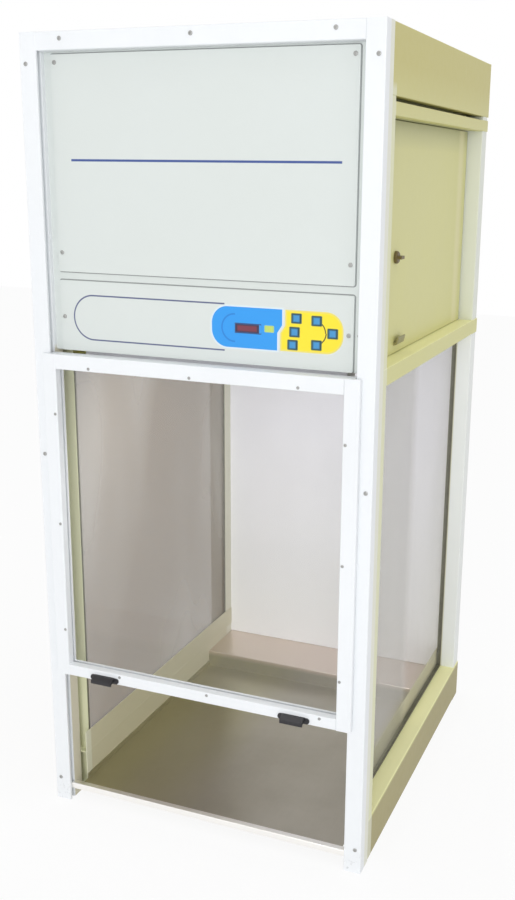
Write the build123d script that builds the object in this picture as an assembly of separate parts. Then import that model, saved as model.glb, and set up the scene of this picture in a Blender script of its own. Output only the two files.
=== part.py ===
from build123d import *
import os
from math import cos, radians, sin

# Bench fume hood that filters its own air: a white aluminium front frame with a sliding sash,
# cream sheet-metal sides with windows, a steel tray, and a head that holds filters and a blower.
# Lengths are in millimetres. X runs to the right and Z up. Y is measured from the face of the
# front frame to the back, and save() shifts every piece so that the origin is the middle of the
# whole hood on the bench.

# Overall size
width = 600
depth = 700
height = 1350
pull_reach = 25
side = width / 2

# Sheet metal
sheet = 1.5
bend = 2.0

# Front frame of extruded posts and a top rail
post_width = 30
post_depth = 39
post_wall = 2
post_inner = side - post_width
top_rail_bottom = height - 28
groove_front = 5
groove_back = 13
groove_bottom = post_inner + 10

# Heights of the bands of the side frames
plinth_foot = 18
plinth_bottom = 2
plinth_top = 80
window_top = 827
mid_rail_top = 855
upper_rail_bottom = 1224
upper_rail_top = 1244
lid_bottom = 1251

# Depths of the side frames and the rear posts
stile_back = 57
rear_post_front = 661
rear_post_inner = 259
rear_skin = depth - sheet
flange_inner = 262
recess_face = 270

# Side windows
pane_inner = 262
pane_outer = 267
gasket_lip = 3
gasket_grip = 1.5

# Work tray, held between the inner walls of the two plinths
lip_front = 5
lip_back = 17
lip_low = 22
lip_top = 34
lip_return = 4
floor_top = 25
upstand_top = 35
ledge_front = 565
ledge_top = 60
plinth_inner = 258
wall_front = 690

# Front panels
fascia_front = 22
fascia_back = fascia_front + sheet
fascia_bottom = 850
panel_front = 19
panel_half = 257
control_bottom = 851
control_top = 967
upper_panel_bottom = 981
upper_panel_top = 1318

# Keypad
key_size = 13
key_gap = 0.3
key_face = panel_front - 0.7
key_centres = [(165, 928), (162, 907), (159, 887), (198, 926), (198, 889), (224, 908)]
display_x = (61, 107)
display_z = (901, 914)
indicator_centre = (120, 909)
indicator_size = 7

# Sash
sash_half = 279
sash_inner = 253.5
sash_tongue = 268
sash_front = -10
sash_step = -1
sash_back = 14
sash_bottom = 264.5
sash_top = 847
bottom_rail_top = 284.5
top_rail_low = 822
glass_front = 4
glass_back = 9
glass_bite = 8
pull_spacing = 360

# Head: filters, blower and electronics
head_back = 697
deck_top = fascia_bottom + 2 * sheet
filter_half = 235
filter_front = 160
filter_back = 640
prefilter_top = deck_top + 15
hepa_top = prefilter_top + 70
carbon_top = hepa_top + 100
fan_plate_low = carbon_top + 7
fan_plate_top = fan_plate_low + sheet
compartment_back = 150
blower_y = 400
wheel_radius = 125
wheel_low = fan_plate_top + 20.5
wheel_high = wheel_low + 70
spindle_radius = 6
running_gap = 0.06
motor_radius = 55
motor_low = wheel_high + 20
motor_high = motor_low + 60

# Service door in the right side
door_front = 149.5
door_back = 656
door_low = mid_rail_top + 1.4
door_high = upper_rail_bottom - 1.4
pivot_x = 266
pivot_y = 651
latch_y = 183
latch_z = 1013

os.makedirs("parts", exist_ok=True)
to_origin = Pos(0, -(depth - pull_reach) / 2, 0)


def save(name, *solids):
    """Write one node, made of one solid or of several like ones."""
    placed = [to_origin * solid for piece in solids for solid in piece.solids()]
    shape = placed[0] if len(placed) == 1 else Compound(children=placed)
    export_step(shape, f"parts/{name}.step")


def save_pair(name, right):
    """Write a piece of the right side and its mirror image on the left."""
    save(f"{name}_right", right)
    save(f"{name}_left", mirror(right, Plane.YZ))


def block(x, y, z):
    """Straight-sided solid that spans three pairs of limits."""
    middle = Pos(sum(x) / 2, sum(y) / 2, sum(z) / 2)
    return middle * Box(x[1] - x[0], y[1] - y[0], z[1] - z[0])


def outline(points, radii=0):
    """Face inside a closed polyline whose corners are rounded."""
    if isinstance(radii, (int, float)):
        radii = [radii] * len(points)
    return make_face(FilletPolyline(*points, radius=radii, close=True))


def folded(points, thickness=sheet):
    """Section of a folded sheet: one skin follows the points, the other lies to their left."""
    runs = [(Vector(*b) - Vector(*a)).normalized() for a, b in zip(points, points[1:])]
    lefts = [Vector(-run.Y, run.X) for run in runs]
    far_skin = [Vector(*points[0]) + lefts[0] * thickness]
    near_radii = []
    far_radii = []
    for i, point in enumerate(points[1:-1]):
        spread = 1 + lefts[i].dot(lefts[i + 1])
        far_skin.append(Vector(*point) + (lefts[i] + lefts[i + 1]) * (thickness / spread))
        turns_left = runs[i].cross(runs[i + 1]).Z > 0
        near_radii.append(bend if turns_left else bend - thickness)
        far_radii.append(bend - thickness if turns_left else bend)
    far_skin.append(Vector(*points[-1]) + lefts[-1] * thickness)
    if near_radii:
        near = FilletPolyline(*points, radius=near_radii)
        far = FilletPolyline(*far_skin, radius=far_radii)
    else:
        near = Line(points[0], points[-1])
        far = Line(far_skin[0], far_skin[-1])
    ends = [Line(points[0], far_skin[0]), Line(points[-1], far_skin[-1])]
    return make_face(near.edges() + far.edges() + [end.edge() for end in ends])


def along_x(section, x):
    """Extrude a section drawn in Y and Z."""
    return Pos(x[0], 0, 0) * extrude(Plane.YZ * section, x[1] - x[0])


def along_y(section, y):
    """Extrude a section drawn in X and Z."""
    return Pos(0, y[0], 0) * extrude(Plane.XZ * section, y[0] - y[1])


def along_z(section, z):
    """Extrude a section drawn in X and Y."""
    return Pos(0, 0, z[0]) * extrude(section, z[1] - z[0])


def turned(section):
    """Revolve a section drawn in radius and Z about the Z axis."""
    return revolve(Plane.XZ * section, Axis.Z)


def screw_head(radius=3.5, rise=1.4):
    """Low screw head that stands on z = 0, with few sides because there are many."""
    return extrude(RegularPolygon(radius, 12), rise)


def facing_front(piece, x, y, z):
    """Set a piece that stands on z = 0 against a face that looks to the front."""
    return Pos(x, y, z) * Rot(90, 0, 0) * piece


def facing_back(piece, x, y, z):
    """Set a piece that stands on z = 0 against a face that looks to the back."""
    return Pos(x, y, z) * Rot(-90, 0, 0) * piece


# Front posts: hollow extrusions with a groove that guides the sash, closed at the top
def front_post():
    """Right front post."""
    skin = outline(
        [
            (post_inner, 0),
            (side, 0),
            (side, post_depth),
            (post_inner, post_depth),
            (post_inner, groove_back),
            (groove_bottom, groove_back),
            (groove_bottom, groove_front),
            (post_inner, groove_front),
        ],
        [1, 1.5, 0.5, 0.5, 0.5, 0, 0, 0.5],
    )
    wall = groove_bottom + post_wall
    core = outline(
        [
            (wall, post_wall),
            (side - post_wall, post_wall),
            (side - post_wall, post_depth - post_wall),
            (post_inner + post_wall, post_depth - post_wall),
            (post_inner + post_wall, groove_back + post_wall),
            (wall, groove_back + post_wall),
        ]
    )
    return along_z(skin, (0, height)) - along_z(core, (-1, height - post_wall))


save_pair("front_post", front_post())

# Top rail: an open channel between the posts, with its back to the head
top_rail = folded(
    [
        (post_depth, top_rail_bottom),
        (0, top_rail_bottom),
        (0, height),
        (post_depth, height),
    ][::-1],
    2,
)
save("front_top_rail", along_x(top_rail, (-post_inner, post_inner)))

# Rear posts: square tube set between the plinths and the lid
rear_post_skin = outline(
    [
        (rear_post_inner, rear_post_front),
        (side - sheet, rear_post_front),
        (side - sheet, rear_skin),
        (rear_post_inner, rear_skin),
    ],
    1.5,
)
rear_post_core = offset(rear_post_skin, -post_wall)
save_pair("rear_post", along_z(rear_post_skin - rear_post_core, (0, lid_bottom)))


# Side frames: one sheet each, with a stile, a plinth and two rails folded inwards
def side_band(points, low, high):
    """Folded band along the side, with its outer skin carried back over the rear post."""
    band = along_y(folded(points), (post_depth + 2, rear_post_front))
    tail = block((side - sheet, side), (rear_post_front - 1, rear_skin), (low, high))
    return band + tail


def side_frame():
    """Right side frame."""
    stile = folded(
        [
            (side - 15, post_depth),
            (side, post_depth),
            (side, stile_back),
            (flange_inner, stile_back),
        ]
    )
    plinth = [
        (side - plinth_foot, plinth_bottom),
        (side, plinth_bottom),
        (side, plinth_top),
        (plinth_inner, plinth_top),
        (plinth_inner, plinth_bottom),
        (plinth_inner + plinth_foot, plinth_bottom),
    ]
    frame = along_z(stile, (plinth_bottom + 1, lid_bottom))
    frame += side_band(plinth, plinth_bottom, plinth_top)
    for low, high in ((window_top, mid_rail_top), (upper_rail_bottom, upper_rail_top)):
        rail = [(flange_inner, low), (side, low), (side, high), (flange_inner, high)]
        if high == upper_rail_top:
            rail.append((flange_inner, lid_bottom + 11))
        frame += side_band(rail, low, high)
    return frame


save_pair("side_frame", side_frame())

# Side windows, each gripped all round by a rubber gasket
gasket_x = (pane_inner - 1.5, pane_outer + 1.5)
grip = gasket_lip - gasket_grip
gasket = block(gasket_x, (stile_back, rear_post_front), (plinth_top, window_top))
gasket -= block(
    gasket_x,
    (stile_back + gasket_lip, rear_post_front - gasket_lip),
    (plinth_top + gasket_lip, window_top - gasket_lip),
)
pane = block(
    (pane_inner, pane_outer),
    (stile_back + grip, rear_post_front - grip),
    (plinth_top + grip, window_top - grip),
)
save_pair("side_window", pane)
save("window_gaskets", gasket - pane, mirror(gasket - pane, Plane.YZ))

# Work tray: a folded sheet with a hemmed lip, upturned sides and a raised ledge at the back.
# The lip is wider than the floor, because it reaches across to the front posts.
lip_points = [
    (lip_back - lip_return, lip_low),
    (lip_front, lip_low),
    (lip_front, lip_top),
    (lip_back, lip_top),
]
floor_points = [
    (lip_back, floor_top),
    (ledge_front, floor_top),
    (ledge_front, ledge_top),
    (head_back, ledge_top),
]
tray_floor = folded((lip_points + floor_points)[::-1])
tray_lip = folded((lip_points + [(lip_back, floor_top - sheet)])[::-1])
tray = along_x(tray_floor, (-plinth_inner, plinth_inner))
tray += along_x(tray_lip, (-post_inner, post_inner))
upstand_y = (post_depth + 2, ledge_front)
upstand_z = (floor_top - sheet, upstand_top)
for x in (-plinth_inner, plinth_inner - sheet):
    tray += block((x, x + sheet), upstand_y, upstand_z)
save("work_tray", tray)

# Back of the hood: rear plinth, chamber wall and head cover, between the rear posts
back_span = (-rear_post_inner, rear_post_inner)
rear_plinth = folded(
    [
        (rear_skin - 20, plinth_bottom),
        (rear_skin, plinth_bottom),
        (rear_skin, ledge_top - sheet),
        (rear_skin - 30, ledge_top - sheet),
    ]
)
save("plinth_rear", along_x(rear_plinth, back_span))
deck_low = deck_top - sheet
rear_wall = folded(
    [
        (head_back, deck_low),
        (wall_front, deck_low),
        (wall_front, ledge_top),
        (head_back, ledge_top),
    ]
)
save("rear_wall", along_x(rear_wall, back_span))

inlet_x = 190
inlet_z = 900
inlet_body = (28, 22)
rear_cover = folded(
    [
        (rear_skin - 12, deck_top),
        (rear_skin, deck_top),
        (rear_skin, lid_bottom),
        (rear_skin - 12, lid_bottom),
    ]
)
rear_cover = along_x(rear_cover, back_span)
rear_cover -= block(
    (inlet_x - inlet_body[0] / 2, inlet_x + inlet_body[0] / 2),
    (rear_skin - 5, depth),
    (inlet_z - inlet_body[1] / 2, inlet_z + inlet_body[1] / 2),
)
save("rear_cover", rear_cover)

# Lid of the head with an outlet, and a slotted grille under it
outlet_x = (-190, 190)
outlet_y = (260, 640)
lid_section = folded(
    [
        (side - 15, lid_bottom),
        (side, lid_bottom),
        (side, height),
        (-side, height),
        (-side, lid_bottom),
        (15 - side, lid_bottom),
    ]
)
lid = along_y(lid_section, (post_depth, rear_skin))
lid += block((-side, side), (rear_skin, depth), (lid_bottom, height))
lid -= block(outlet_x, outlet_y, (height - 5, height + 5))
save("top_cover", lid)

grille_rows = 18
slot_length = 165
slot_width = 8
slot_offset = 92
grille = block(
    (outlet_x[0] - 12, outlet_x[1] + 12),
    (outlet_y[0] - 12, outlet_y[1] + 12),
    (height - 2 * sheet, height - sheet),
)
slot = Box(slot_length, slot_width, 10)
row_pitch = (outlet_y[1] - outlet_y[0]) / grille_rows
for row in range(grille_rows):
    for slot_x in (-slot_offset, slot_offset):
        slot_y = outlet_y[0] + row_pitch * (row + 0.5)
        grille -= Pos(slot_x, slot_y, height) * slot
save("exhaust_grille", grille)


# Recessed panels of the head: shallow pans with their returns inwards
def side_pan(y, z):
    """Pan on the right side of the head."""
    pan = block((flange_inner, recess_face), y, z)
    pan = fillet(pan.edges().filter_by(Axis.X), bend)
    hollow = block(
        (flange_inner - 1, recess_face - sheet),
        (y[0] + sheet, y[1] - sheet),
        (z[0] + sheet, z[1] - sheet),
    )
    return pan - hollow


pan_z = (mid_rail_top, upper_rail_bottom - 1)
save("side_panel_left", mirror(side_pan((stile_back, rear_post_front), pan_z), Plane.YZ))
save("electronics_cover", side_pan((stile_back, door_front - 1.5), pan_z))

# Service door, hung on two pivot pins at its rear edge
door = side_pan((door_front, door_back), (door_low, door_high))
pivot_hole = Pos(pivot_x, pivot_y, 0) * Cylinder(2.5 + running_gap, 4 * height)
door -= pivot_hole
spindle_line = Pos(recess_face, latch_y, latch_z) * Rot(0, 90, 0)
door -= spindle_line * Cylinder(4 + running_gap, 20)
save("service_door", door)

pin_flange = Cylinder(5, 1, align=(Align.CENTER, Align.CENTER, Align.MIN))
pin_shank = Pos(0, 0, 1) * Cylinder(2.5, 8, align=(Align.CENTER, Align.CENTER, Align.MIN))
pivot = pin_flange + pin_shank
lower_pivot = Pos(pivot_x, pivot_y, mid_rail_top) * pivot
upper_pivot = Pos(pivot_x, pivot_y, upper_rail_bottom) * Rot(180, 0, 0) * pivot
save("door_pivots", lower_pivot, upper_pivot)

# Quarter-turn latch: a winged knob, its spindle, and a cam that turns behind the cover
knob_section = outline([(0, 0.3), (10, 0.3), (10, 4), (8, 6), (0, 6)])
knob = turned(knob_section)
knob += Pos(0, 0, 6 + 3.5) * Box(5, 17, 7)
knob += Pos(0, 0, -8.8) * Cylinder(4, 9.4, align=(Align.CENTER, Align.CENTER, Align.MIN))
latch = spindle_line * knob
cam_x = (258.6, 261.2)
cam = along_x(
    outline(
        [
            (latch_y - 7, latch_z - 7),
            (latch_y + 7, latch_z - 7),
            (latch_y + 5, latch_z + 40),
            (latch_y - 5, latch_z + 40),
        ],
        [5, 5, 3, 3],
    ),
    cam_x,
)
save("door_latch", latch + cam)

# Moulded grip low on the door, hollowed for the fingertips
grip_section = outline(
    [
        (recess_face, 869),
        (recess_face + 6, 871),
        (recess_face + 9, 883),
        (recess_face + 6, 883),
        (recess_face + 4, 875),
        (recess_face, 873),
    ],
    [0, 2, 1, 0.8, 1.5, 0],
)
save("door_grip", along_y(grip_section, (189, 229)))

# Fascia plate behind the front panels, with a window for the keypad's board
fascia = folded(
    [
        (fascia_front + 25, fascia_bottom),
        (fascia_front, fascia_bottom),
        (fascia_front, top_rail_bottom),
    ][::-1]
)
fascia = along_x(fascia, (-post_inner, post_inner))
board_window_x = (20, 245)
board_window_z = (872, 945)
fascia -= block(board_window_x, (fascia_front - 1, fascia_back + 1), board_window_z)
save("fascia_plate", fascia)


def front_panel(low, high):
    """Flat panel with rounded corners on the fascia plate."""
    corners = [(-panel_half, low), (panel_half, low), (panel_half, high), (-panel_half, high)]
    return along_y(outline(corners, 3), (panel_front, fascia_front))


save("upper_front_panel", front_panel(upper_panel_bottom, upper_panel_top))

# Control panel with its keys, display window and indicator
panel = front_panel(control_bottom, control_top)
indicator = Rectangle(indicator_size, indicator_size)
display = Rectangle(display_x[1] - display_x[0], display_z[1] - display_z[0])
display_place = (sum(display_x) / 2, sum(display_z) / 2)
through = (panel_front - 1, fascia_front + 1)
panel -= along_y(Pos(*display_place) * display, through)
panel -= along_y(Pos(*indicator_centre) * indicator, through)
key_hole = Rectangle(key_size + 2 * key_gap, key_size + 2 * key_gap)
for centre in key_centres:
    panel -= along_y(Pos(*centre) * key_hole, through)
save("control_panel", panel)
save("display_window", along_y(Pos(*display_place) * display, (panel_front, fascia_front)))
save("indicator_lens", along_y(Pos(*indicator_centre) * indicator, (panel_front, fascia_front)))

key_cap = RectangleRounded(key_size, key_size, 1.5)
key_flange = Rectangle(key_size + 3, key_size + 3)
flange_y = (fascia_front + 0.05, fascia_front + 0.85)
for number, centre in enumerate(key_centres, 1):
    cap = along_y(Pos(*centre) * key_cap, (key_face, flange_y[0]))
    flange = along_y(Pos(*centre) * key_flange, flange_y)
    save(f"key_{number}", cap + flange)

# Circuit board with the display, the key switches and the spacers that carry it
board_front = fascia_back + 2
board_thick = 1.6
board_x = (8, 256)
board_z = (861, 955)
component_y = (fascia_front, board_front)
board = block(board_x, (board_front, board_front + board_thick), board_z)
board += block((60, 108), component_y, (899, 916))
board += block((116, 124), component_y, (905, 913))
spacer = extrude(RegularPolygon(3, 6), board_front - fascia_back)
for x in (board_x[0] + 6, board_x[1] - 6):
    for z in (board_z[0] + 5, board_z[1] - 5):
        board += facing_front(spacer, x, board_front, z)
switch_y = (board_front - 1.4, board_front)
for x, z in key_centres:
    board += block((x - 2, x + 2), switch_y, (z - 2, z + 2))
save("control_board", board)

# Head floor with an air opening, and a barred grille under it
opening_x = (-220, 220)
opening_y = (filter_front + 15, filter_back - 15)
deck = block(back_span, (fascia_back + 1, head_back), (deck_low, deck_top))
deck -= block(opening_x, opening_y, (deck_low - 1, deck_top + 1))
save("filter_deck", deck)

grille_low = deck_low - 5
bar_count = 16
bar_pitch = (opening_y[1] - opening_y[0]) / bar_count
intake = block(
    (opening_x[0] - 12, opening_x[1] + 12),
    (opening_y[0] - 12, opening_y[1] + 12),
    (grille_low, deck_low),
)
for bar in range(bar_count):
    gap_y = opening_y[0] + bar_pitch * bar
    for gap_x in ((opening_x[0], -6), (6, opening_x[1])):
        intake -= block(gap_x, (gap_y + 4, gap_y + bar_pitch - 4), (grille_low - 1, deck_low + 1))
save("intake_grille", intake)

# Filters, stacked on the head floor
filter_x = (-filter_half, filter_half)
filter_y = (filter_front, filter_back)
mat = block(filter_x, filter_y, (deck_top, prefilter_top))
save("prefilter", fillet(mat.edges().filter_by(Axis.Z), 6))

frame_wall = 4
pleat_count = 32
pleat_y = (filter_front + frame_wall, filter_back - frame_wall)
pleat_pitch = (pleat_y[1] - pleat_y[0]) / pleat_count
pleat_low = prefilter_top + 6
pleat_high = hepa_top - 6
paper = 1.2
hepa = block(filter_x, filter_y, (prefilter_top, hepa_top))
hepa -= block(
    (filter_x[0] + frame_wall, filter_x[1] - frame_wall), pleat_y, (prefilter_top - 1, hepa_top + 1)
)
zigzag = []
for fold_number in range(2 * pleat_count + 1):
    fold_y = pleat_y[0] + pleat_pitch * fold_number / 2
    zigzag.append((fold_y, pleat_high if fold_number % 2 else pleat_low))
upper_side = [(y, z + paper * 4) for y, z in zigzag]
pleats = make_face(Polyline(*(zigzag + upper_side[::-1]), close=True))
hepa += along_x(pleats, (filter_x[0] + frame_wall, filter_x[1] - frame_wall))
save("hepa_filter", hepa)

cell_columns = 4
cell_depth = 6
cell_rib = 6
carbon = block(filter_x, filter_y, (hepa_top, carbon_top))
cell_x = (2 * filter_half - cell_rib) / cell_columns
cell_y = (filter_back - filter_front - cell_rib) / cell_columns
for column in range(cell_columns):
    for row in range(cell_columns):
        x0 = filter_x[0] + cell_rib + cell_x * column
        y0 = filter_front + cell_rib + cell_y * row
        spans = ((x0, x0 + cell_x - cell_rib), (y0, y0 + cell_y - cell_rib))
        carbon -= block(*spans, (hepa_top - 1, hepa_top + cell_depth))
        carbon -= block(*spans, (carbon_top - cell_depth, carbon_top + 1))
save("carbon_filter", carbon)

seal_width = 14
seal = block(filter_x, filter_y, (carbon_top, fan_plate_low))
seal -= block(
    (filter_x[0] + seal_width, filter_x[1] - seal_width),
    (filter_front + seal_width, filter_back - seal_width),
    (carbon_top - 1, fan_plate_low + 1),
)
save("filter_seal", seal)

# Wall between the electronics and the filters, and the plate that carries the blower
inner_half = 256
wall_section = folded(
    [
        (compartment_back - 14, deck_top),
        (compartment_back, deck_top),
        (compartment_back, fan_plate_low + 20),
    ]
)
save("compartment_wall", along_x(wall_section, (-inner_half, inner_half)))
fan_plate_section = folded(
    [
        (compartment_back, fan_plate_low + 20),
        (compartment_back, fan_plate_low),
        (head_back, fan_plate_low),
        (head_back, fan_plate_low + 20),
    ]
)
fan_plate = along_x(fan_plate_section, (-inner_half, inner_half))
bell_radius = 104
fan_plate -= Pos(0, blower_y, fan_plate_low) * Cylinder(bell_radius, 20)
save("fan_plate", fan_plate)

# Blower: inlet ring spun to a bell in two cones, backward-curved wheel, motor and bracket
bell_turn = 18
bell_flange = 14
throat = bell_radius - bell_turn
ring_section = outline(
    [
        (bell_radius + bell_flange, 0),
        (bell_radius, 0),
        (bell_radius - bell_turn * 0.7, bell_turn * 0.3),
        (throat, bell_turn),
        (throat, bell_turn + 3),
        (throat + sheet, bell_turn + 3),
        (throat + sheet, bell_turn + 0.5),
        (bell_radius - bell_turn * 0.7 + 1.2, bell_turn * 0.3 + 1.2),
        (bell_radius, sheet),
        (bell_radius + bell_flange, sheet),
    ]
)
save("inlet_ring", Pos(0, blower_y, fan_plate_top) * turned(ring_section))

blade_count = 7
hub_radius = 20
shroud_radius = 92
wheel_height = wheel_high - wheel_low
plate_thick = 2
shroud = Circle(wheel_radius) - Circle(shroud_radius)
wheel = along_z(shroud, (0, plate_thick))
wheel += along_z(Circle(wheel_radius), (wheel_height - plate_thick, wheel_height))
wheel += along_z(Circle(hub_radius), (wheel_height - 26, wheel_height + 10))
wheel -= Cylinder(spindle_radius + running_gap, 4 * wheel_height)
blade_inner = 62
blade_thick = 1.8
blade_sweep = 38
lead = Vector(blade_inner, 0)
tail = Vector(wheel_radius * cos(radians(blade_sweep)), wheel_radius * sin(radians(blade_sweep)))
chord = (tail - lead).normalized()
across = Vector(-chord.Y, chord.X)
bow = (lead + tail) * 0.5 + across * -9
blade_edges = [
    ThreePointArc(lead, bow, tail),
    Line(tail, tail + across * blade_thick),
    ThreePointArc(tail + across * blade_thick, bow + across * blade_thick, lead + across * blade_thick),
    Line(lead + across * blade_thick, lead),
]
blade_face = make_face([edge.edge() for edge in blade_edges]) & Circle(wheel_radius)
blade = along_z(blade_face, (plate_thick, wheel_height - plate_thick))
for turn in range(blade_count):
    wheel += Rot(0, 0, turn * 360 / blade_count) * blade
save("blower_wheel", Pos(0, blower_y, wheel_low) * wheel)

motor_section = [
    (0, wheel_high - 20),
    (spindle_radius, wheel_high - 20),
    (spindle_radius, motor_low),
    (motor_radius - 10, motor_low),
    (motor_radius, motor_low + 10),
    (motor_radius, motor_high),
    (0, motor_high),
]
save("blower_motor", Pos(0, blower_y, 0) * turned(outline(motor_section)))

leg_count = 3
leg_reach = 150
leg_section = folded(
    [
        (leg_reach + 22, fan_plate_top),
        (leg_reach, fan_plate_top),
        (leg_reach, motor_high + sheet),
        (0, motor_high + sheet),
    ][::-1]
)
leg = along_y(leg_section, (-14, 14))
bracket = along_z(Circle(motor_radius), (motor_high, motor_high + sheet))
for turn in range(leg_count):
    bracket += Rot(0, 0, 90 + turn * 360 / leg_count) * leg
save("motor_bracket", Pos(0, blower_y, 0) * bracket)

# Lamp under the front of the head floor: a folded reflector, end plates and a tube
lamp_y = (52, 98)
lamp_low = 824
lamp_half = 230
reflector = folded(
    [
        (lamp_y[0], lamp_low),
        (lamp_y[0] + 8, deck_low),
        (lamp_y[1] - 8, deck_low),
        (lamp_y[1], lamp_low),
    ][::-1]
)
lamp_housing = along_x(reflector, (-lamp_half, lamp_half))
end_plate = outline(
    [
        (lamp_y[0], lamp_low),
        (lamp_y[1], lamp_low),
        (lamp_y[1] - 8, deck_low),
        (lamp_y[0] + 8, deck_low),
    ]
)
for edge in (-lamp_half - 6, lamp_half):
    lamp_housing += along_x(end_plate, (edge, edge + 6))
save("lamp_housing", lamp_housing)
tube_z = (lamp_low + deck_low) / 2 - 1
tube = Pos(0, sum(lamp_y) / 2, tube_z) * Rot(0, 90, 0) * Cylinder(8, 2 * lamp_half)
save("lamp_tube", tube)

# Power unit on the head floor, with cooling fins
power = block((120, 240), (50, 135), (deck_top, deck_top + 48))
for fin in range(9):
    fin_x = 124 + 14 * fin - 7 * (fin == 8)
    power += block((fin_x, fin_x + 3), (50, 135), (deck_top + 48, deck_top + 66))
save("power_unit", power)


# Mains inlet with three blades in a recessed socket
def mains_inlet():
    """Socket in the rear cover, on its own axes: x across, y to the back."""
    plate = along_y(RectangleRounded(50, 27, 5), (rear_skin, depth))
    body = along_y(Rectangle(*inlet_body), (rear_skin - 30, rear_skin + 0.5))
    pocket = outline([(-12, -8), (12, -8), (12, 4), (8, 8), (-8, 8), (-12, 4)], 1.5)
    inlet = plate + body - along_y(pocket, (depth - 17, depth + 1))
    for x, z in ((-7, -2), (7, -2), (0, 2)):
        inlet += block((x - 1, x + 1), (depth - 18, depth - 7), (z - 2, z + 2))
    return Pos(inlet_x, 0, inlet_z) * inlet


save("mains_inlet", mains_inlet())


# Sash: two stiles, two rails and a pane held in their grooves
def sash_stile():
    """Right stile: a face that laps the post and a tongue that runs beside it."""
    section = outline(
        [
            (sash_inner, sash_front),
            (sash_half, sash_front),
            (sash_half, sash_step),
            (sash_tongue, sash_step),
            (sash_tongue, sash_back),
            (sash_inner, sash_back),
            (sash_inner, glass_back),
            (sash_inner + glass_bite, glass_back),
            (sash_inner + glass_bite, glass_front),
            (sash_inner, glass_front),
        ],
        [1.5, 1.5, 1, 0.5, 1, 1, 0, 0, 0, 0],
    )
    return along_z(section, (sash_bottom, sash_top))


def sash_rail(outer, inner, groove):
    """Rail between the stiles: its outer and inner edge and the bottom of its groove."""
    section = outline(
        [
            (sash_front, outer),
            (sash_back, outer),
            (sash_back, inner),
            (glass_back, inner),
            (glass_back, groove),
            (glass_front, groove),
            (glass_front, inner),
            (sash_front, inner),
        ],
        [1.5, 1, 1, 0, 0, 0, 0, 1.5],
    )
    return along_x(section, (-sash_inner, sash_inner))


glass_low = bottom_rail_top - glass_bite
glass_high = top_rail_low + glass_bite
save_pair("sash_stile", sash_stile())
save("sash_bottom_rail", sash_rail(sash_bottom, bottom_rail_top, glass_low))
save("sash_top_rail", sash_rail(sash_top, top_rail_low, glass_high))
glass_half = sash_inner + glass_bite
save("sash_glass", block((-glass_half, glass_half), (glass_front, glass_back), (glass_low, glass_high)))


# Finger pulls: a hooked lip on a plate with a screw ear at each end
def finger_pull():
    """Pull at the middle of the bottom rail."""
    face = sash_front
    hook = outline(
        [
            (face, 276.5),
            (face - 4, 276.5),
            (-pull_reach, 267),
            (-pull_reach, 256),
            (-pull_reach + 3, 256),
            (-pull_reach + 5, 264),
            (face - 2, 271),
            (face, 271),
        ],
        [0, 2, 4, 1, 1, 2.5, 1.5, 0],
    )
    plate = along_y(Pos(0, 271) * SlotOverall(56, 10), (face - 2.5, face))
    return along_x(hook, (-16, 16)) + plate


save("sash_pulls", *[Pos(x, 0, 0) * finger_pull() for x in (-pull_spacing / 2, pull_spacing / 2)])

# Guide shoes of the sash, and the stops in the grooves that the lower shoes rest above
shoe_length = 30
shoe_lows = (bottom_rail_top - 10, top_rail_low - 15)
shoe_section = outline(
    [
        (sash_tongue, groove_front + 0.5),
        (groove_bottom - 1.5, groove_front + 0.5),
        (groove_bottom - 1.5, groove_back - 0.5),
        (sash_tongue, groove_back - 0.5),
    ],
    [0, 1, 1, 0],
)
shoes = [along_z(shoe_section, (low, low + shoe_length)) for low in shoe_lows]
save("guide_shoes", *shoes, *[mirror(shoe, Plane.YZ) for shoe in shoes])
stop = block(
    (post_inner + 1, groove_bottom),
    (groove_front, groove_back),
    (shoe_lows[0] - 20, shoe_lows[0] - 0.5),
)
save("sash_stops", stop, mirror(stop, Plane.YZ))

# Screws of the sash, then those of the frame, the panels and the rear cover
head = screw_head(2.6, 1.0)
sash_places = []
for x in (-258, 258):
    for z in (352, 550, 745):
        sash_places.append((x, z))
for x in (-190, -5, 180):
    sash_places.append((x, top_rail_low + 5))
for x in (-150, 20, 225):
    sash_places.append((x, bottom_rail_top - 5))
save("sash_screws", *[facing_front(head, x, sash_front, z) for x, z in sash_places])

head = screw_head()
screws = []
for x in (-226, 0, 226):
    screws.append(facing_front(head, x, 0, 1339))
for x in (-289.5, 289.5):
    for z in (44, 670, 1303):
        screws.append(facing_front(head, x, 0, z))
for x in (-249.5, 249.5):
    for z in (907, 1012, 1306):
        screws.append(facing_front(head, x, panel_front, z))
screws.append(facing_front(screw_head(2, 1), 264, fascia_front, 907))
for x in (-245, 245):
    for z in (880, 1050, 1225):
        screws.append(facing_back(head, x, rear_skin, z))
save("screws", *screws)
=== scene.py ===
import math

import bmesh
import bpy
from bpy.props import FloatProperty, FloatVectorProperty, IntProperty, PointerProperty
from mathutils import Matrix, Vector


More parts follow.
